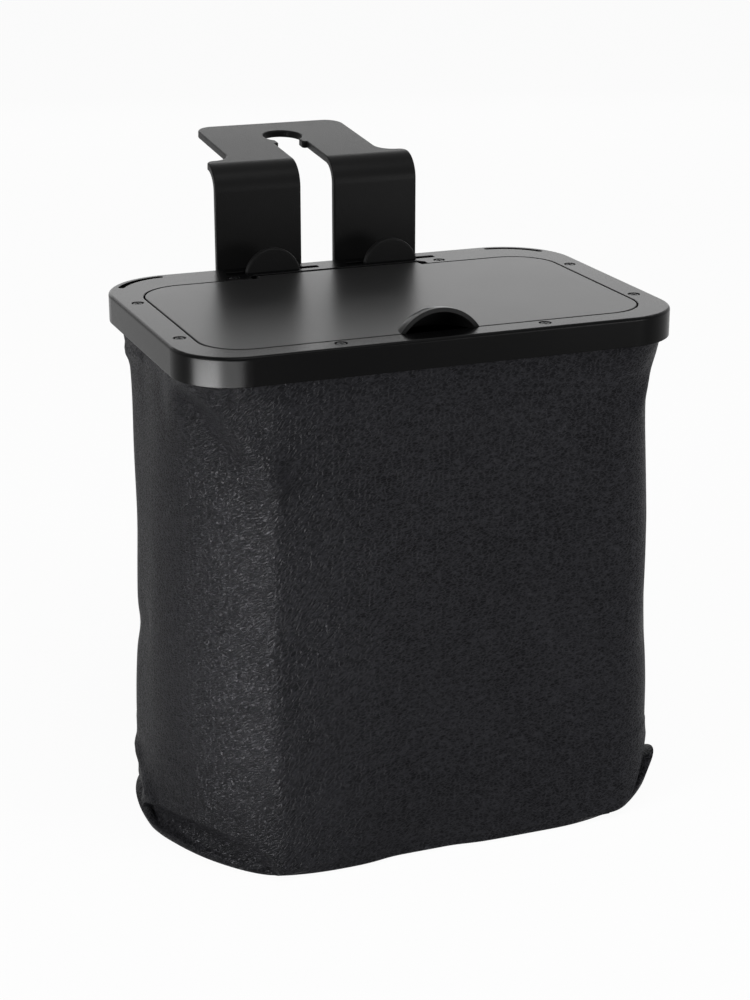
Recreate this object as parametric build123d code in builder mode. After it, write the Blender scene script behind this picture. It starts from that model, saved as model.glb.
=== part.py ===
# Hanging trash bin for a car: a soft leather bag under a moulded rim with a hinged flap lid,
# hooked on a bent hanger whose keyhole plate goes over a headrest post.
# Millimetres. Z is up, the bag stands on Z = 0, and the rim is centred on X = 0, Y = 0.
# The front is towards -Y, the hanger is at the rear.
import os
from math import cos, hypot, radians, sin, sqrt, tan

from build123d import *

# Rim
rim_width = 260
rim_depth = 176
rim_top = 278
front_corner_radius = 31
rear_corner_radius = 38
skirt_height = 14.5
skirt_wall = 2.4
plate_thickness = 2.6
rim_edge_round = 1.6
side_strip = 14.5
front_strip = 13
rear_strip = 26.7
opening_front_radius = 22.5
opening_rear_radius = 24.5
edge_break = 0.5

# Lid
lid_gap = 0.8
lid_thickness = 2.3
lid_rib_height = 3.2
lid_rib_thickness = 1.6
lid_rib_inset = 8
lid_rib_pitch = 50
lid_rib_count = 3
hood_width = 41
hood_height = 11
hood_wall = 2.2

# Hinge
tongue_width = 92
tongue_end_gap = 4
tongue_chamfer = 3
hinge_setback = 4.7
barrel_radius = 2.8
barrel_gap = 0.9
rear_undercut = 0.9
rear_undercut_height = 1.6
rod_radius = 1
rod_running_gap = 0.05
rod_seat_gap = 0.02
rod_seat_depth = 3.2
lug_wall = 1.6

# Screws
screw_head_radius = 2.8
screw_head_height = 1.2
screw_shank_radius = 1.4
screw_length = 9
screw_recess_radius = 3.2
screw_recess_depth = 1.4
screw_hole_radius = 1.7
screw_cross_length = 3.2
screw_cross_width = 0.7
screw_cross_depth = 0.8
screw_boss_radius = 2.9
screw_boss_floor = 1
screw_pilot_gap = 0.03
side_screw_inset = 9
side_screw_front = -43
side_screw_rear = 31
front_screw_inset = 8.2
front_screw_spacing = 106
rear_screw_inset = 21.5
rear_screw_rod_gap = 5.8

# Clamp ring
ring_wall = 1.8
ring_flange = 2
ring_ledge = 3.2
ring_rear_wall_inset = 17.4
ring_rear_radius = 30
hem_gap = 0.25

# Hanger
strip_thickness = 4
leg_width = 48.5
leg_gap = 19.2
leg_standoff = 10
hook_slot_inset = 11.8
hook_slot_width = 52
hook_slot_depth = 5
hook_slot_round = 1
hook_seat_gap = 0.3
tongue_tip_radius = 15.3
tongue_tip_height = 12.2
plate_rise = 52
plate_slope = 5.7
plate_width = 87
plate_length = 85
plate_corner_radius = 10
plate_shoulder_radius = 10
leg_corner_radius = 4.4
plate_shoulder_start = 15.5
bend_radius = 12
keyhole_radius = 11
keyhole_distance = 56.5
neck_width = 14
neck_distance = 41.5
nub_radius = 1.8
strip_edge_round = 0.7

# Corner slots of the rim
corner_slot_inset = 5.5
corner_slot_width = 3.6
corner_slot_start = 31
corner_slot_sweep = 54

# Bag
bag_wall = 1.8
hem_fit = 0.2
hem_top_gap = 0.4
hem_corner_run = 28.4
waist_drop = 36
waist_inset = 6.4
waist_front_inset = 6.5
waist_rear_bulge = 0.5
waist_run = 34
middle_height = 150
middle_inset = 3.6
middle_front_inset = 8
middle_rear_bulge = 7
belly_height = 62
belly_inset = 0.8
belly_front_inset = 7.8
belly_rear_bulge = 9
belly_run = 40
crease_reach_ratio = 1.3
foot_height = 18
foot_tuck = 4.5
foot_roll = 4

# Folds under the bag's short sides
flap_thickness = 5
flap_reach = 136
pocket_height = 17
pocket_floor = 12
fold_inset = 12

# Lining and base board
soft_gap = 0.3
lining_wall = 0.6
lining_drop = 1.5
board_thickness = 2.4
board_margin = 1.5

os.makedirs("parts", exist_ok=True)

half_width = rim_width / 2
front_edge = -rim_depth / 2
rear_edge = rim_depth / 2
skirt_bottom = rim_top - skirt_height
plate_bottom = rim_top - plate_thickness
opening_half = half_width - side_strip
opening_front = front_edge + front_strip
opening_rear = rear_edge - rear_strip
lid_half = opening_half - lid_gap
lid_front = opening_front + lid_gap
lid_rear = opening_rear - lid_gap
lid_bottom = rim_top - lid_thickness
hinge_y = lid_rear + hinge_setback
hinge_z = rim_top - barrel_radius
notch_half = tongue_width / 2 + tongue_end_gap
notch_rear = hinge_y + barrel_radius + barrel_gap
rod_half = notch_half + rod_seat_depth
slot_y = rear_edge - hook_slot_inset
leg_x = (leg_gap + leg_width) / 2

screw_points = [
    (side * (half_width - side_screw_inset), y)
    for side in (-1, 1)
    for y in (side_screw_front, side_screw_rear)
]
screw_points += [(side * front_screw_spacing / 2, front_edge + front_screw_inset) for side in (-1, 1)]
rear_screw_spacing = 2 * (rod_half + rear_screw_rod_gap)
screw_points += [(side * rear_screw_spacing / 2, rear_edge - rear_screw_inset) for side in (-1, 1)]


def rounded_plan(half, front, rear, front_radius, rear_radius):
    # a rectangle symmetric about X = 0 with its own corner radii at the front and at the rear
    with BuildSketch(mode=Mode.PRIVATE) as plan:
        with Locations((0, (front + rear) / 2)):
            Rectangle(2 * half, rear - front)
        fillet(plan.vertices().group_by(Axis.Y)[0], front_radius)
        fillet(plan.vertices().group_by(Axis.Y)[-1], rear_radius)
    return plan.sketch


def rim_plan(inset):
    return rounded_plan(
        half_width - inset,
        front_edge + inset,
        rear_edge - inset,
        front_corner_radius - inset,
        rear_corner_radius - inset,
    )


def tongue_plan(half, front, rear):
    # the hinge tongue, or its notch, which narrows to the front over a short diagonal at each end
    with BuildSketch(mode=Mode.PRIVATE) as plan:
        with Locations((0, (front + rear) / 2)):
            Rectangle(2 * half, rear - front)
        chamfer(plan.vertices().group_by(Axis.Y)[-1], tongue_chamfer)
    return plan.sketch


opening_plan = rounded_plan(opening_half, opening_front, opening_rear, opening_front_radius, opening_rear_radius)
lid_plan = rounded_plan(
    lid_half, lid_front, lid_rear, opening_front_radius - lid_gap, opening_rear_radius - lid_gap
)

# Rim: top plate and skirt, open below
with BuildPart() as upper_frame:
    with BuildSketch(Plane.XY.offset(skirt_bottom)):
        add(rim_plan(0))
    extrude(amount=skirt_height)
    fillet(upper_frame.faces().sort_by(Axis.Z)[-1].edges(), rim_edge_round)
    with BuildSketch(Plane.XY.offset(skirt_bottom)):
        add(rim_plan(skirt_wall))
    extrude(amount=skirt_height - plate_thickness, mode=Mode.SUBTRACT)
    # lugs that hold the ends of the hinge rod
    lug_height = plate_bottom - hinge_z + rod_radius + lug_wall
    lug_length = rod_seat_depth + lug_wall
    with Locations(
        *[(side * (notch_half + lug_length / 2), hinge_y, plate_bottom - lug_height / 2) for side in (-1, 1)]
    ):
        Box(lug_length, 2 * (rod_radius + lug_wall), lug_height)
    # lid opening with the notch for the hinge tongue
    with BuildSketch(Plane.XY.offset(plate_bottom)):
        add(opening_plan)
        add(tongue_plan(notch_half, opening_rear - opening_rear_radius, notch_rear))
    extrude(amount=plate_thickness, mode=Mode.SUBTRACT)
    opening_edges = upper_frame.faces().sort_by(Axis.Z)[-1].inner_wires().edges()
    fillet(opening_edges, edge_break)
    # slots that the hanger's hooks come up through
    with BuildSketch(Plane.XY.offset(plate_bottom)):
        with Locations(*[(side * leg_x, slot_y) for side in (-1, 1)]):
            RectangleRounded(hook_slot_width, hook_slot_depth, hook_slot_round)
    extrude(amount=plate_thickness, mode=Mode.SUBTRACT)
    # curved slots along the rear corners
    with BuildSketch(Plane.XY.offset(plate_bottom)):
        with BuildLine(mode=Mode.PRIVATE) as corner_arc:
            CenterArc(
                (half_width - rear_corner_radius, rear_edge - rear_corner_radius),
                rear_corner_radius - corner_slot_inset,
                corner_slot_start,
                corner_slot_sweep,
            )
        SlotArc(corner_arc.edges()[0], corner_slot_width)
        mirror(about=Plane.YZ)
    extrude(amount=plate_thickness, mode=Mode.SUBTRACT)
    with Locations(*[(x, y, rim_top) for x, y in screw_points]):
        CounterBoreHole(screw_hole_radius, screw_recess_radius, screw_recess_depth, plate_thickness)
    # seats of the hinge rod
    with BuildSketch(Plane.YZ.offset(-rod_half)):
        with Locations((hinge_y, hinge_z)):
            Circle(rod_radius + rod_seat_gap)
    extrude(amount=2 * rod_half, mode=Mode.SUBTRACT)
upper_frame.part.label = "upper_frame"
export_step(upper_frame.part, "parts/upper_frame.step")

# Clamp ring: a flange under the rim's plate, a wall inside the bag's hem and a boss for each screw
ring_inset = skirt_wall + hem_fit + bag_wall + hem_gap
ring_rear = rear_edge - ring_rear_wall_inset
ring_plan = rounded_plan(
    half_width - ring_inset, front_edge + ring_inset, ring_rear, front_corner_radius - ring_inset, ring_rear_radius
)
ring_core = rounded_plan(
    half_width - ring_inset - ring_wall,
    front_edge + ring_inset + ring_wall,
    ring_rear - ring_wall,
    front_corner_radius - ring_inset - ring_wall,
    ring_rear_radius - ring_wall,
)
ring_mouth = rounded_plan(
    opening_half - ring_ledge,
    opening_front + ring_ledge,
    opening_rear - ring_ledge,
    opening_front_radius - ring_ledge,
    opening_rear_radius - ring_ledge,
)
with BuildPart() as clamp_ring:
    with BuildSketch(Plane.XY.offset(skirt_bottom)):
        add(ring_plan)
        add(ring_core, mode=Mode.SUBTRACT)
    extrude(amount=plate_bottom - skirt_bottom)
    with BuildSketch(Plane.XY.offset(plate_bottom - ring_flange)):
        add(ring_plan)
        add(ring_mouth, mode=Mode.SUBTRACT)
    extrude(amount=ring_flange)
    with BuildSketch(Plane.XY.offset(plate_bottom - screw_length)):
        with Locations(*screw_points):
            Circle(screw_boss_radius)
    extrude(amount=screw_length)
    # pocket for the lid's barrel and the rim's lugs
    pocket_half = notch_half + lug_length + lid_gap
    pocket_front = opening_rear - ring_ledge
    pocket_rear = ring_rear - ring_wall
    with Locations((0, (pocket_front + pocket_rear) / 2, plate_bottom - ring_flange / 2)):
        Box(2 * pocket_half, pocket_rear - pocket_front, ring_flange, mode=Mode.SUBTRACT)
    with BuildSketch(Plane.XY.offset(plate_bottom - screw_length + screw_boss_floor)):
        with Locations(*screw_points):
            Circle(screw_shank_radius + screw_pilot_gap)
    extrude(amount=screw_length - screw_boss_floor, mode=Mode.SUBTRACT)
clamp_ring.part.label = "clamp_ring"
export_step(clamp_ring.part, "parts/clamp_ring.step")

# Lid: flush flap, stiffened below, with a domed finger hood that is open to the front
hood_radius = (hood_width**2 / 4 + hood_height**2) / (2 * hood_height)
hood_z = rim_top + hood_height - hood_radius
hood_axis = Axis((0, lid_front, 0), (0, 0, 1))
rib_half = lid_half - lid_rib_inset
rib_front = lid_front + hood_width / 2 + lid_rib_inset
rib_rear = lid_rear - lid_rib_inset
rib_corner = opening_rear_radius - lid_gap - lid_rib_inset


def hood_profile(radius, low):
    # right half of the arch, seen from the front, down to the height given
    with BuildSketch(Plane.XZ.offset(-lid_front), mode=Mode.PRIVATE) as profile:
        with Locations((0, hood_z)):
            Circle(radius)
        with Locations((radius / 2, (low + hood_z + radius) / 2)):
            Rectangle(radius, hood_z + radius - low, mode=Mode.INTERSECT)
    return profile.sketch


with BuildPart() as lid:
    with BuildSketch(Plane.XY.offset(lid_bottom)):
        add(lid_plan)
    extrude(amount=lid_thickness)
    fillet(lid.faces().sort_by(Axis.Z)[-1].edges(), edge_break)
    # the rear edge is cut back below, to clear the rim as the lid swings up
    rear_bottom_edge = lid.faces().sort_by(Axis.Z)[0].edges().filter_by(GeomType.LINE).sort_by(Axis.Y)[-1]
    chamfer(rear_bottom_edge, rear_undercut_height, rear_undercut, reference=lid.faces().sort_by(Axis.Y)[-1])
    with BuildSketch(Plane.XY.offset(lid_bottom)):
        add(tongue_plan(tongue_width / 2, lid_rear - opening_rear_radius, hinge_y))
    extrude(amount=lid_thickness)
    with BuildSketch(Plane.YZ.offset(-tongue_width / 2)):
        with Locations((hinge_y, hinge_z)):
            Circle(barrel_radius)
    extrude(amount=tongue_width)
    with BuildSketch(Plane.XY.offset(lid_bottom)):
        add(rounded_plan(rib_half, rib_front, rib_rear, rib_corner, rib_corner))
        add(
            rounded_plan(
                rib_half - lid_rib_thickness,
                rib_front + lid_rib_thickness,
                rib_rear - lid_rib_thickness,
                rib_corner - lid_rib_thickness,
                rib_corner - lid_rib_thickness,
            ),
            mode=Mode.SUBTRACT,
        )
        with Locations((0, (rib_front + rib_rear) / 2)):
            with GridLocations(lid_rib_pitch, 1, lid_rib_count, 1):
                Rectangle(lid_rib_thickness, rib_rear - rib_front - lid_rib_thickness)
    extrude(amount=-lid_rib_height)
    revolve(hood_profile(hood_radius, lid_bottom), hood_axis, 180)
    revolve(hood_profile(hood_radius - hood_wall, lid_bottom), hood_axis, 180, mode=Mode.SUBTRACT)
    with BuildSketch(Plane.YZ.offset(-tongue_width / 2)):
        with Locations((hinge_y, hinge_z)):
            Circle(rod_radius + rod_running_gap)
    extrude(amount=tongue_width, mode=Mode.SUBTRACT)
lid.part.label = "lid"
export_step(lid.part, "parts/lid.step")

with BuildPart() as hinge_rod:
    with BuildSketch(Plane.YZ.offset(-rod_half)):
        with Locations((hinge_y, hinge_z)):
            Circle(rod_radius)
    extrude(amount=2 * rod_half)
    chamfer(hinge_rod.edges(), rod_radius / 4)
hinge_rod.part.label = "hinge_rod"
export_step(hinge_rod.part, "parts/hinge_rod.step")

# Screws: bevelled heads with a cross recess, in the rim's counterbores and the ring's bosses
screw_seat = rim_top - screw_recess_depth
with BuildPart() as frame_screws:
    with BuildSketch(Plane.XY.offset(screw_seat)):
        with Locations(*screw_points):
            Circle(screw_head_radius)
    extrude(amount=screw_head_height)
    chamfer(frame_screws.faces().group_by(Axis.Z)[-1].edges(), screw_head_height / 2)
    with BuildSketch(Plane.XY.offset(screw_seat)):
        with Locations(*screw_points):
            Circle(screw_shank_radius)
    extrude(amount=-screw_length)
    chamfer(frame_screws.faces().group_by(Axis.Z)[0].edges(), screw_shank_radius / 2)
    with BuildSketch(Plane.XY.offset(screw_seat + screw_head_height)):
        with Locations(*screw_points):
            Rectangle(screw_cross_length, screw_cross_width)
            Rectangle(screw_cross_width, screw_cross_length)
    extrude(amount=-screw_cross_depth, mode=Mode.SUBTRACT)
frame_screws.part.label = "frame_screws"
export_step(frame_screws.part, "parts/frame_screws.step")

# Hanger: one bent strip, from the keyhole plate over the bend and down both legs, then forward
# under the rim's rear skirt and up through the slots to a half-round tongue on each leg
slope = radians(plate_slope)
hanger_half = leg_gap / 2 + leg_width
half_strip = strip_thickness / 2
leg_y = rear_edge + leg_standoff + half_strip
hook_radius = (leg_y - slot_y) / 2
hook_y = (leg_y + slot_y) / 2
skirt_offset = hook_y - rear_edge + skirt_wall
hook_z = skirt_bottom - hook_seat_gap + sqrt((hook_radius - half_strip) ** 2 - skirt_offset**2)
tongue_top = rim_top + tongue_tip_height
bend_z = rim_top + plate_rise + half_strip * tan(slope) - half_strip / cos(slope)
plate_end = (leg_y + plate_length * cos(slope), bend_z + plate_length * sin(slope))
plate_plane = Plane(origin=(0, leg_y, bend_z), x_dir=(1, 0, 0), z_dir=(0, -sin(slope), cos(slope)))
with BuildPart() as hanger:
    with BuildSketch(Plane.YZ):
        with BuildLine():
            Line((slot_y, tongue_top), (slot_y, hook_z))
            ThreePointArc((slot_y, hook_z), (hook_y, hook_z - hook_radius), (leg_y, hook_z))
            FilletPolyline((leg_y, hook_z), (leg_y, bend_z), plate_end, radius=bend_radius)
        trace(line_width=strip_thickness)
    extrude(amount=hanger_half, both=True)
    # the plate is narrower than the legs, with hollow shoulders and round rear corners
    with BuildSketch(plate_plane) as trimmings:
        with Locations((0, plate_shoulder_start + plate_length / 2)):
            Rectangle(2 * hanger_half + plate_width, plate_length)
        with Locations((0, (plate_shoulder_start + plate_length) / 2)):
            Rectangle(plate_width, plate_length - plate_shoulder_start, mode=Mode.SUBTRACT)
        plate_corners = trimmings.vertices().filter_by(lambda v: abs(v.X) < hanger_half).group_by(Axis.Y)
        fillet(plate_corners[-1], plate_corner_radius)
        shoulder_corners = trimmings.vertices().filter_by(lambda v: abs(v.X) < hanger_half).group_by(Axis.Y)
        fillet(shoulder_corners[0], plate_shoulder_radius)
    extrude(amount=bend_radius, both=True, mode=Mode.SUBTRACT)
    leg_corners = hanger.edges().filter_by(Axis(plate_plane.origin, plate_plane.z_dir)).group_by(Axis.Y)[0]
    fillet(leg_corners, leg_corner_radius)
    # keyhole: post hole, neck between two round nubs, and the slot that runs on between the legs
    with BuildSketch(plate_plane) as keyhole:
        with Locations((0, keyhole_distance)):
            Circle(keyhole_radius)
        with Locations((0, keyhole_distance / 2)):
            Rectangle(neck_width, keyhole_distance)
        with Locations((0, neck_distance / 2 - bend_radius)):
            Rectangle(leg_gap, neck_distance + 2 * bend_radius)
        nub_corners = keyhole.vertices().filter_by(lambda v: abs(abs(v.X) - neck_width / 2) < nub_radius / 4)
        fillet(nub_corners, nub_radius)
    extrude(amount=bend_radius, both=True, mode=Mode.SUBTRACT)
    gap_low = hook_z - hook_radius - strip_thickness
    with Locations((0, hook_y, (gap_low + bend_z) / 2)):
        Box(leg_gap, 2 * hook_radius + 2 * strip_thickness, bend_z - gap_low, mode=Mode.SUBTRACT)
    # half-round tongues
    tip_z = tongue_top - tongue_tip_radius
    with BuildSketch(Plane.XZ.offset(-slot_y)) as tip_trimmings:
        with Locations((0, (hook_z + tongue_top) / 2)):
            Rectangle(2 * hanger_half, tongue_top - hook_z)
        with Locations(*[(side * leg_x, (hook_z + tip_z) / 2) for side in (-1, 1)]):
            Rectangle(2 * tongue_tip_radius, tip_z - hook_z, mode=Mode.SUBTRACT)
        with Locations(*[(side * leg_x, tip_z) for side in (-1, 1)]):
            Circle(tongue_tip_radius, mode=Mode.SUBTRACT)
    extrude(amount=strip_thickness, both=True, mode=Mode.SUBTRACT)
    # round the strip's outline, but no edge across its width or its thickness
    lengthwise = hanger.edges().filter_by(Axis.X, reverse=True)
    fillet(lengthwise.filter_by(lambda e: abs(e.length - strip_thickness) > hook_seat_gap), strip_edge_round)
hanger.part.label = "hanger"
export_step(hanger.part, "parts/hanger.step")

# Bag: a soft shell that hangs from its hem, widens towards the foot and folds under there
hem_outset = skirt_wall + hem_fit
hem_rear = ring_rear + hem_gap + bag_wall
hem_top = plate_bottom - hem_top_gap
waist_z = rim_top - waist_drop
belly_half = half_width - belly_inset
belly_front = front_edge + belly_front_inset
belly_rear = hem_rear + belly_rear_bulge
belly_middle = (belly_front + belly_rear) / 2


def bag_plan(half, front, rear, run, reach):
    # soft rectangle: each corner arc leaves the side straight and meets the front or rear in a crease
    with BuildSketch(mode=Mode.PRIVATE) as plan:
        with BuildLine():
            Line((0, front), (half - run, front))
            TangentArc((half, front + reach), (half - run, front), tangent=(0, -1))
            Line((half, front + reach), (half, rear - reach))
            TangentArc((half, rear - reach), (half - run, rear), tangent=(0, 1))
            Line((half - run, rear), (0, rear))
            mirror(about=Plane.YZ)
        make_face()
    return plan.sketch


def hem_plan(inset):
    run = hem_corner_run - inset
    return bag_plan(half_width - hem_outset - inset, front_edge + hem_outset + inset, hem_rear - inset, run, run)


def waist_plan(inset):
    half = half_width - waist_inset - inset
    front = front_edge + waist_front_inset + inset
    rear = hem_rear + waist_rear_bulge - inset
    run = waist_run - inset
    return bag_plan(half, front, rear, run, run)


def middle_plan(inset):
    half = half_width - middle_inset - inset
    front = front_edge + middle_front_inset + inset
    rear = hem_rear + middle_rear_bulge - inset
    run = belly_run - inset
    return bag_plan(half, front, rear, run, run * crease_reach_ratio)


def belly_plan(inset, fold):
    # the fold sets in the short sides only
    run = belly_run - inset - fold
    reach = (belly_run - inset) * crease_reach_ratio + fold
    return bag_plan(belly_half - inset - fold, belly_front + inset, belly_rear - inset, run, reach)


def bag_stations(inset, fold):
    # heights and outlines, from the foot up, of a skin that lies the given inset inside the bag
    return [
        (inset, belly_plan(inset + foot_tuck, fold)),
        (inset + foot_roll, belly_plan(inset + foot_tuck / 4, fold)),
        (inset + foot_height, belly_plan(inset, fold)),
        (belly_height, belly_plan(inset, 0)),
        (middle_height, middle_plan(inset)),
        (waist_z, waist_plan(inset)),
        (skirt_bottom, hem_plan(inset)),
    ]


chord_y = belly_middle - belly_front
chord = hypot(belly_run, chord_y)
with BuildPart() as bag_shell:
    for height, plan in bag_stations(0, 0):
        with BuildSketch(Plane.XY.offset(height)):
            add(plan)
    loft(ruled=True)
    # pockets of the boxed fold, one on each lower corner, between the crease and the middle of the side
    for side in (-1, 1):
        for end in (-1, 1):
            outward = Vector(side * chord_y, end * belly_run, 0) / chord
            middle = Vector(side * (belly_half - belly_run / 2), belly_middle + end * chord_y / 2, flap_thickness)
            pocket_plane = Plane(middle + outward * pocket_floor, Vector(0, 0, 1).cross(outward), outward)
            with BuildSketch(pocket_plane):
                with BuildLine():
                    ThreePointArc((-chord / 2, 0), (0, pocket_height), (chord / 2, 0))
                    Line((chord / 2, 0), (-chord / 2, 0))
                make_face()
            extrude(amount=chord / 2, mode=Mode.SUBTRACT)
    # lower lip of the fold: a bowed flap along the floor on each short side
    with BuildSketch():
        with BuildLine():
            lip_x = belly_half - belly_run
            lip_front = (lip_x, belly_front + foot_tuck)
            lip_rear = (lip_x, belly_rear - foot_tuck)
            ThreePointArc(lip_front, (flap_reach, belly_middle), lip_rear)
            Line(lip_rear, lip_front)
        make_face()
        mirror(about=Plane.YZ)
    extrude(amount=flap_thickness)
    with BuildSketch(Plane.XY.offset(skirt_bottom)):
        add(hem_plan(0))
    extrude(amount=hem_top - skirt_bottom)
    for height, plan in bag_stations(bag_wall, fold_inset):
        with BuildSketch(Plane.XY.offset(height)):
            add(plan)
    loft(ruled=True, mode=Mode.SUBTRACT)
    with BuildSketch(Plane.XY.offset(skirt_bottom)):
        add(hem_plan(bag_wall))
    extrude(amount=hem_top - skirt_bottom, mode=Mode.SUBTRACT)
bag_shell.part.label = "bag_shell"
export_step(bag_shell.part, "parts/bag_shell.step")

# Lining: a thin skin inside the bag, sewn in just below the clamp ring
lining_inset = bag_wall + soft_gap
lining_inner = lining_inset + lining_wall
lining_top = skirt_bottom - lining_drop
with BuildPart() as bag_lining:
    for height, plan in bag_stations(lining_inset, fold_inset):
        with BuildSketch(Plane.XY.offset(height)):
            add(plan)
    loft(ruled=True)
    for height, plan in bag_stations(lining_inner, fold_inset):
        with BuildSketch(Plane.XY.offset(height)):
            add(plan)
    loft(ruled=True, mode=Mode.SUBTRACT)
    split(bisect_by=Plane.XY.offset(lining_top), keep=Keep.BOTTOM)
bag_lining.part.label = "bag_lining"
export_step(bag_lining.part, "parts/bag_lining.step")

# Base board: lies loose on the lining
with BuildPart() as base_board:
    with BuildSketch(Plane.XY.offset(lining_inner + soft_gap)):
        add(belly_plan(lining_inner + foot_tuck + board_margin, fold_inset))
    extrude(amount=board_thickness)
base_board.part.label = "base_board"
export_step(base_board.part, "parts/base_board.step")
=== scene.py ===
import math

import bpy
import numpy as np
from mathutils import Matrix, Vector, noise


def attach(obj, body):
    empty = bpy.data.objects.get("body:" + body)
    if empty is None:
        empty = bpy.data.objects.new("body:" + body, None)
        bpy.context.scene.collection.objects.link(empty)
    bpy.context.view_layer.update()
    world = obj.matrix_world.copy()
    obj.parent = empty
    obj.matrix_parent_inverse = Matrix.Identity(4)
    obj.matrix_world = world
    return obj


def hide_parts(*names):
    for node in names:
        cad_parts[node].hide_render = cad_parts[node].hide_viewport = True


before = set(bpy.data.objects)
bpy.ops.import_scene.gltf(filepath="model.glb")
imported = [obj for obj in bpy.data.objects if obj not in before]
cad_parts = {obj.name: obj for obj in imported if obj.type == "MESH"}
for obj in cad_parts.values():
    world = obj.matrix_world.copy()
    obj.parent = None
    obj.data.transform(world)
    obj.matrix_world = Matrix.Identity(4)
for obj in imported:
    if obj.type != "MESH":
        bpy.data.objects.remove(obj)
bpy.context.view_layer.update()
scene = bpy.context.scene
scene.view_settings.view_transform = "Standard"
mm = 0.001
print("frame loaded:", ", ".join(sorted(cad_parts)))


class Wire:  # a node socket; arithmetic on wires adds Math nodes
    def __init__(self, tree, socket=None):
        self.tree = tree
        self.socket = socket

    def node(self, kind, settings=None, inputs=None, output=0):
        made = self.tree.nodes.new(kind)
        for name, value in (settings or {}).items():
            setattr(made, name, value)
        for key, value in (inputs or {}).items():
            if isinstance(value, Wire):
                self.tree.links.new(value.socket, made.inputs[key])
            else:
                made.inputs[key].default_value = value
        return Wire(self.tree, made.outputs[output] if made.outputs else None)

    def math(self, operation, first, second=0.0):
        return self.node("ShaderNodeMath", {"operation": operation}, {0: first, 1: second})

    def __add__(self, other):
        return self.math("ADD", self, other)

    def __radd__(self, other):
        return self.math("ADD", other, self)

    def __sub__(self, other):
        return self.math("SUBTRACT", self, other)

    def __rsub__(self, other):
        return self.math("SUBTRACT", other, self)

    def __mul__(self, other):
        return self.math("MULTIPLY", self, other)

    def __rmul__(self, other):
        return self.math("MULTIPLY", other, self)

    def __pow__(self, other):
        return self.math("POWER", self, other)

    def __rpow__(self, other):
        return self.math("POWER", other, self)

    def limit(self):
        return self.node("ShaderNodeClamp", {}, {0: self})

    def mixColour(self, factor, first, second):
        return self.node("ShaderNodeMix", {"data_type": "RGBA"}, {0: factor, 6: first, 7: second}, 2)

    def stretch(self, vector, scale):
        return self.node("ShaderNodeVectorMath", {"operation": "MULTIPLY"}, {0: vector, 1: scale})

    def noise(self, vector, scale, detail=2.0, roughness=0.5):
        values = {"Vector": vector, "Scale": scale, "Detail": detail, "Roughness": roughness}
        return self.node("ShaderNodeTexNoise", {}, values)


def newMaterial(name):
    material = bpy.data.materials.new(name)
    material.use_nodes = True
    material.node_tree.nodes.clear()
    return material, Wire(material.node_tree)


def objectPlace(wire):
    return wire.node("ShaderNodeTexCoord", {}, {}, "Object")


def finishShader(wire, inputs):
    shader = wire.node("ShaderNodeBsdfPrincipled", {}, inputs)
    wire.node("ShaderNodeOutputMaterial", {}, {"Surface": shader})


# camera, light and floor
cameraSetup = {  # fitted to the photo, place in millimetres
    "place": (-394.7, -995.6, 537.9),
    "forward": (0.3447, 0.8800, -0.3267),
    "lens": 77.31,
    "sensor": 36.0,
}
cameraData = bpy.data.cameras.new("photoCamera")
cameraData.lens = cameraSetup["lens"]
cameraData.sensor_width = cameraSetup["sensor"]
camera = bpy.data.objects.new("photoCamera", cameraData)
camera.location = Vector(cameraSetup["place"]) * mm
camera.rotation_euler = Vector(cameraSetup["forward"]).to_track_quat("-Z", "Y").to_euler()
scene.collection.objects.link(camera)
scene.camera = camera

lampSetup = {  # places and sizes in metres, power in watts, spread in degrees
    "rear": {"place": (0.62, 2.25, 0.85), "size": (2.5, 1.2), "power": 10.0},
    "overhead": {"place": (0.1, -0.7, 1.7), "size": (0.9, 0.7), "power": 8.0},
    "frontLeft": {"place": (-1.55, -0.72, 0.85), "size": (0.6, 0.6), "power": 9.0},
    "frontRight": {"place": (0.75, -1.1, 0.3), "size": (0.4, 0.4), "power": 6.0},
}
usualLamp = {"aim": (0, 0, 0.16), "spread": 180.0}
sheenSetup = {  # lamps that show only as a sheen: on the leather beside its crease and on the rim's corner
    "creaseSheen": {
        "place": (-0.22, -0.125, 0.125),
        "aim": (-0.1, -0.07, 0.135),
        "size": (0.13, 0.25),
        "power": 1.5,
        "spread": 75.0,
    },
    "rimSheen": {
        "place": (-0.484, -0.775, 0.012),
        "aim": (0, 0, 30.0),  # lies flat on the table
        "size": (0.85, 0.3),
        "power": 35.0,
    },
}
for name, listed in {**lampSetup, **sheenSetup}.items():
    setup = {**usualLamp, **listed}
    lampData = bpy.data.lights.new(name + "Softbox", "AREA")
    lampData.shape = "RECTANGLE"
    lampData.size, lampData.size_y = setup["size"]
    lampData.energy = setup["power"]
    lampData.spread = math.radians(setup["spread"])
    lamp = bpy.data.objects.new(name + "Softbox", lampData)
    lamp.location = setup["place"]
    lamp.rotation_euler = (Vector(setup["aim"]) - lamp.location).to_track_quat("-Z", "Y").to_euler()
    lamp.visible_camera = False
    lamp.visible_diffuse = name in lampSetup
    scene.collection.objects.link(lamp)


def shownRays(wire):  # 1 where the background itself is looked at, directly or in a reflection
    looked = wire.node("ShaderNodeLightPath", {}, {}, "Is Camera Ray")
    mirrored = wire.node("ShaderNodeLightPath", {}, {}, "Is Glossy Ray")
    passed = wire.node("ShaderNodeLightPath", {}, {}, "Is Transmission Ray")
    return (looked + mirrored + passed).limit()


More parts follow.
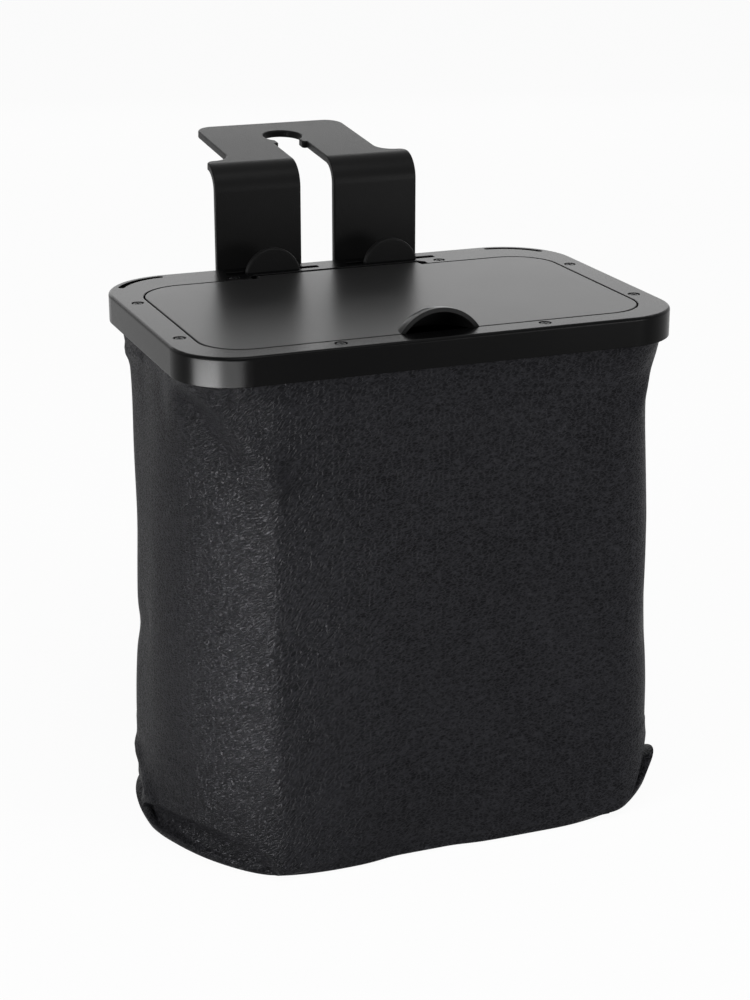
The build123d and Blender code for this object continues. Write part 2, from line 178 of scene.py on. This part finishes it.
worldSetup = {"light": 0.2, "shown": 1.0}
world = bpy.data.worlds.new("studio")
scene.world = world
world.use_nodes = True
world.cycles.sampling_method = "NONE"
world.node_tree.nodes.clear()
sky = Wire(world.node_tree)
brightness = worldSetup["light"] + shownRays(sky) * (worldSetup["shown"] - worldSetup["light"])
backdrop = sky.node("ShaderNodeBackground", {}, {"Color": (1, 1, 1, 1), "Strength": brightness})
sky.node("ShaderNodeOutputWorld", {}, {"Surface": backdrop})

floorSetup = {"half": 6.0, "colour": (0.9, 0.9, 0.9, 1), "roughness": 0.9, "whiteShare": 0.95}
half = floorSetup["half"]
floorMesh = bpy.data.meshes.new("floor")
floorCorners = [(-half, -half, 0), (half, -half, 0), (half, half, 0), (-half, half, 0)]
floorMesh.from_pydata(floorCorners, [], [(0, 1, 2, 3)])
floor = bpy.data.objects.new("floor", floorMesh)
scene.collection.objects.link(floor)
floorMaterial, wire = newMaterial("paleFloor")
paint = {"Color": floorSetup["colour"], "Roughness": floorSetup["roughness"]}
matte = wire.node("ShaderNodeBsdfDiffuse", {}, paint)
white = wire.node("ShaderNodeEmission", {}, {"Color": (1, 1, 1, 1), "Strength": 1.0})
whiteness = shownRays(wire) * floorSetup["whiteShare"]  # the rest keeps the object's shadow
blend = wire.node("ShaderNodeMixShader", {}, {0: whiteness, 1: matte, 2: white})
wire.node("ShaderNodeOutputMaterial", {}, {"Surface": blend})
floorMaterial.cycles.emission_sampling = "NONE"
floorMesh.materials.append(floorMaterial)
print("camera, lamps and floor set")


# moulded plastic and steel of the rigid pieces
def mouldedPlastic(name, setup):
    material, wire = newMaterial(name)
    place = objectPlace(wire)
    cloud = wire.noise(place, setup["cloudScale"], 3.0)
    fine = wire.noise(place, setup["grainScale"], 2.0, 0.6)
    colour = wire.mixColour(cloud, setup["dark"], setup["light"])
    roughness = setup["roughness"] + (cloud - 0.5) * setup["roughnessSwing"]
    rounded = wire.node("ShaderNodeBevel", {"samples": 6}, {"Radius": setup["edge"]})
    grain = {"Strength": setup["grainStrength"], "Distance": setup["grainDepth"]}
    bump = wire.node("ShaderNodeBump", {}, {**grain, "Height": fine, "Normal": rounded})
    surface = {"Base Color": colour, "Roughness": roughness, "Specular IOR Level": setup["specular"]}
    finishShader(wire, {**surface, "Normal": bump})
    return material


plasticSetup = {
    "dark": (0.0010, 0.0010, 0.0011, 1),
    "light": (0.0018, 0.0018, 0.0019, 1),
    "cloudScale": 14.0,
    "grainScale": 2600.0,
    "grainStrength": 0.25,
    "grainDepth": 0.00008,
    "edge": 0.0005,  # worn edges, in metres
    "roughness": 0.25,
    "roughnessSwing": 0.05,
    "specular": 0.055,
}
rimPlastic = mouldedPlastic("satinMoulding", plasticSetup)
# painted light: the lid takes a paler black than the rim's, brightening its top and the shade in its
# reflections
paintedLitLid = {"dark": (0.0120, 0.0120, 0.0121, 1), "light": (0.0160, 0.0160, 0.0161, 1)}
darker = {"dark": (0.0070, 0.0070, 0.0071, 1), "light": (0.0100, 0.0100, 0.0101, 1)}
lidSetup = {**plasticSetup, **paintedLitLid, "roughness": 0.3, "specular": 0.074, "grainStrength": 0.4}
lidPlastic = mouldedPlastic("lidMoulding", lidSetup)
pebbled = {"grainScale": 1500.0, "grainStrength": 0.6, "grainDepth": 0.00015, "edge": 0.0009}
hangerSetup = {**plasticSetup, **darker, **pebbled, "roughness": 0.32, "specular": 0.045}
hangerPlastic = mouldedPlastic("hangerMoulding", hangerSetup)

steelSetup = {
    "colour": (0.012, 0.012, 0.013, 1),
    "roughness": 0.5,
    "roughnessSwing": 0.2,
    "scratchScale": 900.0,
    "scratchStretch": (1.0, 4.0, 1.0),
}
screwSteel, wire = newMaterial("blackenedSteel")
stretched = wire.stretch(objectPlace(wire), steelSetup["scratchStretch"])
scratch = wire.noise(stretched, steelSetup["scratchScale"], 2.0)
finishShader(
    wire,
    {
        "Base Color": steelSetup["colour"],
        "Metallic": 1.0,
        "Roughness": steelSetup["roughness"] + (scratch - 0.5) * steelSetup["roughnessSwing"],
    },
)

boardSetup = {**plasticSetup, "roughness": 0.6, "grainScale": 900.0, "grainStrength": 0.5, "specular": 0.06}
boardSheet = mouldedPlastic("boardSheet", boardSetup)


def dress(node, material):
    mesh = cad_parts[node].data
    mesh.materials.clear()
    mesh.materials.append(material)


for node, material in {
    "upper_frame": rimPlastic,
    "clamp_ring": rimPlastic,
    "lid": lidPlastic,
    "hinge_rod": screwSteel,
    "frame_screws": screwSteel,
    "hanger": hangerPlastic,
    "base_board": boardSheet,
}.items():
    dress(node, material)
print("rigid pieces dressed")


# leather: a net of fine ridges round small pits, wider than they are high, with a painted highlight on the
# ridges and painted shade in the pits
leatherSetup = {
    "dark": (0.0064, 0.0064, 0.0074, 1),
    "light": (0.0340, 0.0340, 0.0385, 1),
    "pit": 1.15,  # mm from pit to pit up the wall
    "pitStretch": 0.42,
    "pitRandomness": 0.9,
    "ridgeSharpness": 3.8,
    "slant": 3.5,  # how fast the grain tilts away from level, left of the middle
    "warp": 0.0014,
    "warpScale": 260.0,
    "creaseScale": 480.0,
    "creaseStretch": 0.5,
    "toneScale": 22.0,
    "relief": {"ridges": 0.6, "creases": 1.2},
    # colour weights: random tone, plus painted highlight on ridges and raised creases and painted shade in
    # the pits
    "toneAndPaintedGrainLight": {"tone": 0.3, "ridges": 0.55, "creases": 1.1},
    "grainDepth": 0.0006,
    "grainStrength": 1.0,
    "roughness": 0.44,
    "roughnessSwing": 0.1,
    "specular": 0.024,
}
leather, wire = newMaterial("grainedLeather")
place = objectPlace(wire)
across, deep, upright = (wire.node("ShaderNodeSeparateXYZ", {}, {0: place}, axis) for axis in "XYZ")
leftward = wire.math("MINIMUM", across, 0.0)
lifted = upright + leftward * leftward * leatherSetup["slant"]
slanted = wire.node("ShaderNodeCombineXYZ", {}, {"X": across, "Y": deep, "Z": lifted})
warpNoise = {"Vector": place, "Scale": leatherSetup["warpScale"], "Detail": 2.0}
shift = wire.node("ShaderNodeTexNoise", {}, warpNoise, "Color")
shift = wire.node("ShaderNodeVectorMath", {"operation": "SUBTRACT"}, {0: shift, 1: (0.5, 0.5, 0.5)})
warpReach = leatherSetup["warp"] * 2
shift = wire.node("ShaderNodeVectorMath", {"operation": "SCALE"}, {0: shift, "Scale": warpReach})
warped = wire.node("ShaderNodeVectorMath", {"operation": "ADD"}, {0: slanted, 1: shift})
warped = wire.stretch(warped, (leatherSetup["pitStretch"], leatherSetup["pitStretch"], 1.0))
pits = {
    "Vector": warped,
    "Scale": 1 / (leatherSetup["pit"] * mm),
    "Randomness": leatherSetup["pitRandomness"],
}
toEdge = wire.node("ShaderNodeTexVoronoi", {"feature": "DISTANCE_TO_EDGE"}, pits, "Distance")
ridges = 1 - (toEdge * leatherSetup["ridgeSharpness"]).limit()
creased = wire.stretch(slanted, (leatherSetup["creaseStretch"], leatherSetup["creaseStretch"], 1.0))
creases = wire.noise(creased, leatherSetup["creaseScale"], 3.0, 0.6)
tone = wire.noise(place, leatherSetup["toneScale"], 3.0, 0.55)
relief, toneAndPaintedGrainWeights = leatherSetup["relief"], leatherSetup["toneAndPaintedGrainLight"]
height = ridges * relief["ridges"] + creases * relief["creases"]
# colour: random tone, plus painted grain light: ridges and raised creases painted lighter as a highlight,
# pits painted darker as their shade
toneAndPaintedGrainLight = tone * toneAndPaintedGrainWeights["tone"] + ridges * toneAndPaintedGrainWeights["ridges"] + (creases - 0.5) * toneAndPaintedGrainWeights["creases"]
colour = wire.mixColour(toneAndPaintedGrainLight.limit(), leatherSetup["dark"], leatherSetup["light"])
bump = wire.node(
    "ShaderNodeBump",
    {},
    {"Strength": leatherSetup["grainStrength"], "Distance": leatherSetup["grainDepth"], "Height": height},
)
finishShader(
    wire,
    {
        "Base Color": colour,
        "Roughness": leatherSetup["roughness"] + (tone - ridges) * leatherSetup["roughnessSwing"],
        "Specular IOR Level": leatherSetup["specular"],
        "Normal": bump,
    },
)

# lining: a coated cloth with a fine weave
liningSetup = {
    "dark": (0.010, 0.010, 0.011, 1),
    "light": (0.020, 0.020, 0.021, 1),
    "thread": 0.55,  # mm from thread to thread
    "toneScale": 30.0,
    "weaveStrength": 0.4,
    "weaveDepth": 0.00012,
    "roughness": 0.62,
    "specular": 0.06,
}
liningCloth, wire = newMaterial("coatedCloth")
place = objectPlace(wire)
across, deep, upright = (wire.node("ShaderNodeSeparateXYZ", {}, {0: place}, axis) for axis in "XYZ")
turns = 2 * math.pi / (liningSetup["thread"] * mm)
warpThread = wire.math("SINE", (across + deep) * turns)
weftThread = wire.math("SINE", upright * turns)
weave = warpThread * weftThread * 0.5 + 0.5
tone = wire.noise(place, liningSetup["toneScale"], 3.0)
colour = wire.mixColour((weave * 0.5 + tone * 0.5).limit(), liningSetup["dark"], liningSetup["light"])
bump = wire.node(
    "ShaderNodeBump",
    {},
    {"Strength": liningSetup["weaveStrength"], "Distance": liningSetup["weaveDepth"], "Height": weave},
)
finishShader(
    wire,
    {
        "Base Color": colour,
        "Roughness": liningSetup["roughness"],
        "Specular IOR Level": liningSetup["specular"],
        "Normal": bump,
    },
)
print("leather and cloth mixed")

# bag: outlines at a few heights, in millimetres, as the leather hangs from the rim
bagShape = {
    "height": (0.0, 62.0, 100.0, 150.0, 200.0, 242.0, 255.0, 263.0, 274.6),
    "front": (-81.6, -80.6, -80.2, -80.0, -80.4, -81.6, -83.6, -84.9, -85.2),
    "rear": (81.6, 81.6, 81.0, 79.4, 76.4, 73.3, 72.7, 72.4, 72.4),
    "rearRun": (40.0, 40.0, 40.0, 40.0, 39.0, 36.0, 34.5, 33.0, 32.8),
    "rearReach": (50.0, 50.0, 50.0, 50.0, 46.0, 40.0, 36.0, 33.0, 32.8),
    "left": {  # a soft crease stands where the front turns into the side
        "half": (127.8, 127.4, 126.4, 125.4, 125.2, 124.6, 125.6, 126.8, 127.1),
        "run": (39.8, 39.4, 38.4, 37.4, 37.2, 36.6, 34.0, 29.0, 28.4),
        "reach": (88.0, 88.0, 88.0, 88.0, 82.0, 60.0, 42.0, 29.0, 28.4),
    },
    "right": {  # the fuller corner
        "half": (132.6, 132.6, 130.4, 128.2, 125.2, 123.2, 125.2, 126.6, 127.1),
        "run": (34.0, 34.0, 34.0, 34.0, 34.0, 33.0, 31.0, 29.0, 28.4),
        "reach": (35.0, 35.0, 35.0, 35.0, 35.0, 33.0, 31.0, 29.0, 28.4),
    },
}
bagMesh = {
    "frontSteps": 36,
    "cornerSteps": 34,
    "sideSteps": 24,
    "wallRows": 72,
    "creaseSoftening": 1,
    "thickness": 1.7,
}
drapeLines = [  # ridges, or dents where the rise is below zero
    {"start": (-114, -66, 259), "end": (-88, -80, 212), "rise": 3.8, "width": 7.0},
    {"start": (-103, -76, 257), "end": (-82, -84, 253), "rise": 1.2, "width": 4.5},
    {"start": (-120, -50, 248), "end": (-110, -62, 220), "rise": -3.4, "width": 9.0},
    {"start": (-22, -81, 3), "end": (6, -81, 3), "rise": -3.0, "width": 13.0},
    {"start": (-125, 44, 250), "end": (-126, 12, 257), "rise": 1.6, "width": 4.0},
    {"start": (-127, 52, 96), "end": (-126, 20, 112), "rise": -1.6, "width": 8.0},
    {"start": (-128, 44, 30), "end": (-130, 2, 15), "rise": 2.0, "width": 4.0},
    {"start": (126, -60, 259), "end": (110, -76, 228), "rise": 1.4, "width": 6.0},
    {"start": (128, -55, 150), "end": (124, -66, 100), "rise": -0.8, "width": 9.0},
]


def throughStops(height, stops, values):
    # smooth curve through a few values, level at its ends and turning points
    stops = np.asarray(stops)
    values = np.asarray(values)
    steps = np.diff(values)
    slopes = np.zeros(len(stops))
    slopes[1:-1] = (values[2:] - values[:-2]) / (stops[2:] - stops[:-2])
    slopes[1:-1] *= steps[1:] * steps[:-1] > 0
    at = np.clip(np.searchsorted(stops, height, "right") - 1, 0, len(stops) - 2)
    span = stops[at + 1] - stops[at]
    t = np.clip((height - stops[at]) / span, 0, 1)
    return (
        (2 * t**3 - 3 * t**2 + 1) * values[at]
        + (t**3 - 2 * t**2 + t) * span * slopes[at]
        + (3 * t**2 - 2 * t**3) * values[at + 1]
        + (t**3 - t**2) * span * slopes[at + 1]
    )


def halfOutline(height, side):
    # from the middle of the front to the middle of the rear: points and outward directions
    listed = {**bagShape, **bagShape[side]}
    front, rear, rearRun, rearReach, half, run, reach = (
        throughStops(height, bagShape["height"], listed[name])
        for name in ("front", "rear", "rearRun", "rearReach", "half", "run", "reach")
    )
    points, outward = [], []

    def straight(start, end, direction, steps):
        for t in np.arange(steps) / steps:
            points.append((start[0] + (end[0] - start[0]) * t, start[1] + (end[1] - start[1]) * t))
            outward.append(direction)

    def corner(run, reach, level, facing, steps):
        radius = (run**2 + reach**2) / (2 * run)
        sweep = math.atan2(reach, radius - run)
        turn = np.arange(steps) / steps
        for angle in sweep * (turn - 1 if facing < 0 else turn):
            direction = (math.cos(angle), math.sin(angle))
            points.append((half - radius + radius * direction[0], level + radius * direction[1]))
            outward.append(direction)

    straight((0, front), (half - run, front), (0, -1), bagMesh["frontSteps"])
    corner(run, reach, front + reach, -1, bagMesh["cornerSteps"])
    straight((half, front + reach), (half, rear - rearReach), (1, 0), bagMesh["sideSteps"])
    corner(rearRun, rearReach, rear - rearReach, 1, bagMesh["cornerSteps"])
    straight((half - rearRun, rear), (0, rear), (0, 1), bagMesh["frontSteps"])
    points.append((0, rear))
    outward.append((0, 1))
    return np.array(points), np.array(outward)


def soften(ring, passes):
    for _ in range(passes):
        ring = (np.roll(ring, 1, 0) + 2 * ring + np.roll(ring, -1, 0)) / 4
    return ring


def bagOutline(height):
    points, outward = halfOutline(height, "right")
    leftPoints, leftOutward = halfOutline(height, "left")
    flip = np.array((-1, 1))
    points = np.concatenate([points, (leftPoints * flip)[-2:0:-1]])
    outward = np.concatenate([outward, (leftOutward * flip)[-2:0:-1]])
    points = soften(points, bagMesh["creaseSoftening"])
    outward = soften(outward, bagMesh["creaseSoftening"] * 2)
    return points, outward / np.linalg.norm(outward, axis=1)[:, None]


foldShape = {  # the boxed fold under each short side, in millimetres
    "lipHeight": 6.0,
    "edgeTuck": 2.0,
    "cornerTuck": 7.0,
    "cornerTuckRun": 32.0,
    "footHeight": 48.0,
    "left": {
        "pinch": 0.43,
        "pocketEnd": 0.34,
        "rearPocket": 0.35,
        "lipRise": 14.5,
        "lipPower": 0.7,
        "lipSkew": 0.62,
        "lipBulge": 0.5,
        "valleyDepth": 4.0,
        "reach": 44.5,
        "squareness": 1.42,
        "rearSquareness": 2.6,
        "crest": 5.0,
        "crestOut": 0.0,
        "crestPower": 0.6,
        "ear": 3.0,
        "earOut": 5.0,
    },
    "right": {
        "pinch": 0.5,
        "pocketEnd": 0.5,
        "rearPocket": 0.7,
        "lipRise": 32.0,
        "lipPower": 3.5,
        "lipSkew": 1.0,
        "lipBulge": 0.5,
        "valleyDepth": 14.0,
        "reach": 34.0,
        "squareness": 2.5,
        "rearSquareness": 2.8,
        "crest": 26.0,
        "crestOut": 12.5,
        "crestPower": 2.8,
        "ear": 5.0,
        "earOut": 0.0,
    },
}


def foldPlace():
    # how far round its short side each point of the outline lies, 0 and 1 at the creases, or -1 off it
    half = 2 * bagMesh["frontSteps"] + 2 * bagMesh["cornerSteps"] + bagMesh["sideSteps"]
    count = 2 * bagMesh["cornerSteps"] + bagMesh["sideSteps"]
    index = np.arange(2 * half)
    fromFront = np.minimum(index, 2 * half - index) - bagMesh["frontSteps"]
    along = np.where((fromFront >= 0) & (fromFront <= count), fromFront / count, -1.0)
    return along, np.where(index <= half, "right", "left")


def foldValue(sides, name):
    return np.where(sides == "right", foldShape["right"][name], foldShape["left"][name])


def floorRing(points, outward, along, sides):
    # where the lowest edge of the bag lies on the floor: straight at front and rear, bowed at the sides
    front, rear = bagShape["front"][0], bagShape["rear"][0]
    depth = (rear - front) / 2 - foldShape["cornerTuck"]
    ring = points.copy()
    for i, (x, y) in enumerate(points):
        fold, side = foldShape[sides[i]], bagShape[sides[i]]
        crease = side["half"][0] - side["run"][0]
        if along[i] < 0:
            near = np.clip((abs(x) - crease) / foldShape["cornerTuckRun"] + 1, 0, 1)
            tuck = foldShape["edgeTuck"] + (foldShape["cornerTuck"] - foldShape["edgeTuck"]) * near**2
            ring[i] -= outward[i] * tuck
        else:
            lean = -math.cos(math.pi * along[i])
            square = fold["squareness" if lean < 0 else "rearSquareness"]
            bow = (1 - abs(lean) ** square) ** (1 / square)
            crease += (side["run"][0] - bagShape["rearRun"][0]) * along[i]
            ring[i] = (math.copysign(crease + fold["reach"] * bow, x), (front + rear) / 2 + depth * lean)
    return soften(ring, 2)


sagShape = {  # how wide, high and deep the unevenness of the leather is, in millimetres
    "broad": {"wide": 95, "high": 120, "rise": 1.4, "start": (0, 0, 0)},
    "small": {"wide": 34, "high": 46, "rise": 0.4, "start": (7, 0, 0)},
    "gathers": {"wide": 17, "high": 90, "rise": 1.1, "start": (0, 0, 3)},
    "gatherHeight": 238,
    "gatherRun": 20,
    "calmHeight": 262,  # the leather lies evenly above this
    "calmRun": 30,
    "hemHeight": 264,  # nothing shifts from here up, under the clamp ring
    "hemRun": 8,
}


def unevenness(kind, x, y, z):
    made = sagShape[kind]
    start = made["start"]
    spot = (x / made["wide"] + start[0], y / made["wide"] + start[1], z / made["high"] + start[2])
    return noise.noise(Vector(spot)) * made["rise"]


def leatherSag(points):
    # slow unevenness of the skin, gathers under the rim and the drape lines: outward shifts in millimetres
    shift = np.zeros(len(points))
    for i, (x, y, z) in enumerate(points):
        skin = unevenness("broad", x, y, z) + unevenness("small", x, y, z)
        nearRim = math.exp(-(((z - sagShape["gatherHeight"]) / sagShape["gatherRun"]) ** 2))
        calm = min(1.0, max(0.0, (sagShape["calmHeight"] - z) / sagShape["calmRun"]))
        shift[i] = skin * calm + unevenness("gathers", x, y, z) * nearRim
    for line in drapeLines:
        start, end = np.array(line["start"]), np.array(line["end"])
        run = end - start
        t = np.clip((points - start) @ run / (run @ run), 0, 1)
        away = np.linalg.norm(points - start - t[:, None] * run, axis=1)
        shift += line["rise"] * np.exp(-((away / line["width"]) ** 2))
    return shift * np.clip((sagShape["hemHeight"] - points[:, 2]) / sagShape["hemRun"], 0, 1)


foldRows = {  # how the rows of the mesh run through the fold; shares unless said otherwise
    "footSteps": 14,
    "pinchWidth": 0.2,
    "pocketPower": 0.7,
    "lipRoll": 2.0,  # mm, where the lip starts to roll in
    "lipRows": ((1.05, -0.8), (0.75, 0.2), (0.0, 0.9)),  # share of the bulge, mm below the lip
    "lipRollIn": 0.15,
    "tuckRows": ((0.3, 0.95), (0.65, 0.9), (0.9, 0.8)),  # share of the valley, share of the lip's height
    "tuckInset": 0.5,  # mm
    "tuckDrop": 0.8,  # mm
    "valleyInset": 0.6,  # mm
    "valleyHeight": 0.64,
    "flatCrest": 2.0,  # mm, the crest where there is no flap
    "slopeRows": (0.17, 0.34, 0.5, 0.67, 0.84),
    "slopeSag": 0.06,
    "crestStand": 1.5,  # mm outside the edge on the floor
    "crestLens": 1.3,
    "edgeRows": (  # mm outside the edge, shares of lens, flare and crest, mm of height
        (1.0, 0.6, 0.7, 0.55, 0.0),
        (0.2, 0.2, 0.25, 0.2, 0.2),
    ),
    "underRows": ((1.4, 0.25), (3.4, 0.2)),  # mm inside the edge, mm of height
    "floorShares": (0.94, 0.86, 0.72, 0.5, 0.25),
    "floorHeight": 0.2,  # mm
}


def bagRows():
    along, sides = foldPlace()
    onSide = along >= 0
    pinch = foldValue(sides, "pinch")
    inFold = np.where(onSide, np.minimum(along / pinch, (1 - along) / (1 - pinch)), 0.0)  # 1 at the pinch
    skewed = inFold.clip(0, 1) ** foldValue(sides, "lipSkew")
    lens = np.where(onSide, np.sin(np.pi * skewed), 0.0).clip(0)
    lens *= np.where(along > pinch, foldValue(sides, "rearPocket"), 1.0)  # the rear half lies flatter
    lip = foldShape["lipHeight"] + foldValue(sides, "lipRise") * lens ** foldValue(sides, "lipPower")
    atPinch = np.exp(-(((inFold - 1) / foldRows["pinchWidth"]) ** 2)) * onSide
    bulge = foldValue(sides, "lipBulge") * lens + foldValue(sides, "earOut") * atPinch
    pocketEnd = foldValue(sides, "pocketEnd")
    inPocket = np.minimum(along / pocketEnd, (1 - along) / (1 + pocketEnd - 2 * pinch)).clip(0, 1)
    pocket = np.where(onSide, np.sin(np.pi * inPocket), 0.0).clip(0)
    valley = foldValue(sides, "valleyDepth") * pocket ** foldRows["pocketPower"]
    valley *= np.where(along > pinch, foldValue(sides, "rearPocket"), 1.0)
    flap = lens ** foldValue(sides, "crestPower")
    flare = foldValue(sides, "crestOut") * flap
    flat = foldRows["flatCrest"]
    crest = flat + (foldValue(sides, "crest") - flat) * flap + foldValue(sides, "ear") * atPinch
    rows = []
    top, high = bagShape["height"][-1], foldShape["footHeight"]

    def addRow(points, heights):
        rows.append(np.column_stack([points, np.broadcast_to(heights, len(points))]))

    for z in np.linspace(top, high, bagMesh["wallRows"]):
        points, outward = bagOutline(z)
        sag = leatherSag(np.column_stack([points, np.full(len(points), z)]))
        addRow(points + outward * sag[:, None], z)
    base, out = bagOutline(0.0)
    for t in np.linspace(0, 1, foldRows["footSteps"])[1:]:  # down to the upper lip of the fold
        z = high + (lip + foldRows["lipRoll"] - high) * t
        sag = leatherSag(np.column_stack([base, z]))
        addRow(base + out * (sag + bulge * t**2)[:, None], z)
    base = base + out * sag[:, None]
    floor = floorRing(base, out, along, sides)
    for push, drop in foldRows["lipRows"]:
        addRow(base + out * (bulge * push - foldRows["lipRollIn"] * drop)[:, None], lip - drop)
    for share, level in foldRows["tuckRows"]:
        inward = (valley + foldRows["tuckInset"]) * share
        addRow(base - out * inward[:, None], lip * level - foldRows["tuckDrop"])
    inward = valley + foldRows["valleyInset"]
    valleyRing = np.column_stack([base - out * inward[:, None], lip * foldRows["valleyHeight"]])
    rows.append(valleyRing)
    stand = foldRows["crestStand"] - foldRows["crestLens"] * lens + flare
    crestRing = np.column_stack([floor + out * stand[:, None], crest])
    for t in foldRows["slopeRows"]:
        step = valleyRing * (1 - t) + crestRing * t
        step[:, 2] -= lip * foldRows["slopeSag"] * lens * 4 * t * (1 - t)
        rows.append(step)
    rows.append(crestRing)
    for outside, lensShare, flareShare, crestShare, height in foldRows["edgeRows"]:
        stand = outside - lensShare * lens + flareShare * flare
        addRow(floor + out * stand[:, None], crestShare * crest + height)
    for inside, height in foldRows["underRows"]:
        addRow(floor - out * inside, height)
    centre = np.array((0.0, floor[:, 1].mean()))
    for share in foldRows["floorShares"]:
        addRow(centre + (floor - centre) * share, foldRows["floorHeight"])
    return rows


def meshFromRows(name, rows):
    count = len(rows[0])
    verts = np.concatenate(rows) * mm
    faces = []
    for r in range(len(rows) - 1):
        for i in range(count):
            j = (i + 1) % count
            faces.append((r * count + i, (r + 1) * count + i, (r + 1) * count + j, r * count + j))
    last = (len(rows) - 1) * count
    verts = np.vstack([verts, [rows[-1].mean(0) * mm]])  # the middle of the bottom
    faces += [(last + i, len(verts) - 1, last + (i + 1) % count) for i in range(count)]
    mesh = bpy.data.meshes.new(name)
    mesh.from_pydata(verts.tolist(), [], faces)
    mesh.polygons.foreach_set("use_smooth", [True] * len(mesh.polygons))
    mesh.update()
    piece = bpy.data.objects.new(name, mesh)
    scene.collection.objects.link(piece)
    return piece


bag = meshFromRows("bagLeather", bagRows())
bag.data.materials.append(leather)
wall = bag.modifiers.new("thickness", "SOLIDIFY")
wall.thickness = bagMesh["thickness"] * mm
wall.offset = -1
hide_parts("bag_shell")
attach(bag, "bin")
print("bag made,", len(bag.data.polygons), "faces")

# lining: hangs loose inside the leather
liningShape = {  # in millimetres
    "inset": 2.6,
    "fold": 12.0,
    "foldHeight": 58,
    "foldRun": 40,
    "slack": 0.7,
    "slackWide": 26,
    "slackHigh": 60,
    "slackStart": 11,
    "top": 262.0,
    "low": 10.0,
    "rows": 46,
    "bottomRows": ((0.985, 6.0), (0.955, 3.4), (0.92, 2.4), (0.6, 2.4), (0.3, 2.4)),  # share, height
    "thickness": 0.5,
}


def liningRows():
    shape = liningShape
    rows = []
    for t in np.linspace(0, 1, shape["rows"]):
        z = shape["top"] + (shape["low"] - shape["top"]) * t
        points, outward = bagOutline(z)
        inFold = min(1.0, max(0.0, (shape["foldHeight"] - z) / shape["foldRun"]))
        narrow = shape["fold"] * inFold * np.abs(outward[:, 0]) ** 0.7
        level = z / shape["slackHigh"] + shape["slackStart"]
        loose = np.array([noise.noise(Vector((*(p / shape["slackWide"]), level))) for p in points])
        sag = leatherSag(np.column_stack([points, np.full(len(points), z)]))
        inset = shape["inset"] + narrow + shape["slack"] * (1 + loose) - sag
        rows.append(np.column_stack([points - outward * inset[:, None], np.full(len(points), z)]))
    low = rows[-1]
    centre = np.array((0.0, low[:, 1].mean()))
    for share, z in shape["bottomRows"]:
        rows.append(np.column_stack([centre + (low[:, :2] - centre) * share, np.full(len(low), z)]))
    return rows


lining = meshFromRows("bagLining", liningRows())
lining.data.materials.append(liningCloth)
skin = lining.modifiers.new("thickness", "SOLIDIFY")
skin.thickness = liningShape["thickness"] * mm
skin.offset = -1
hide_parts("bag_lining")
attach(lining, "bin")
print("lining made")
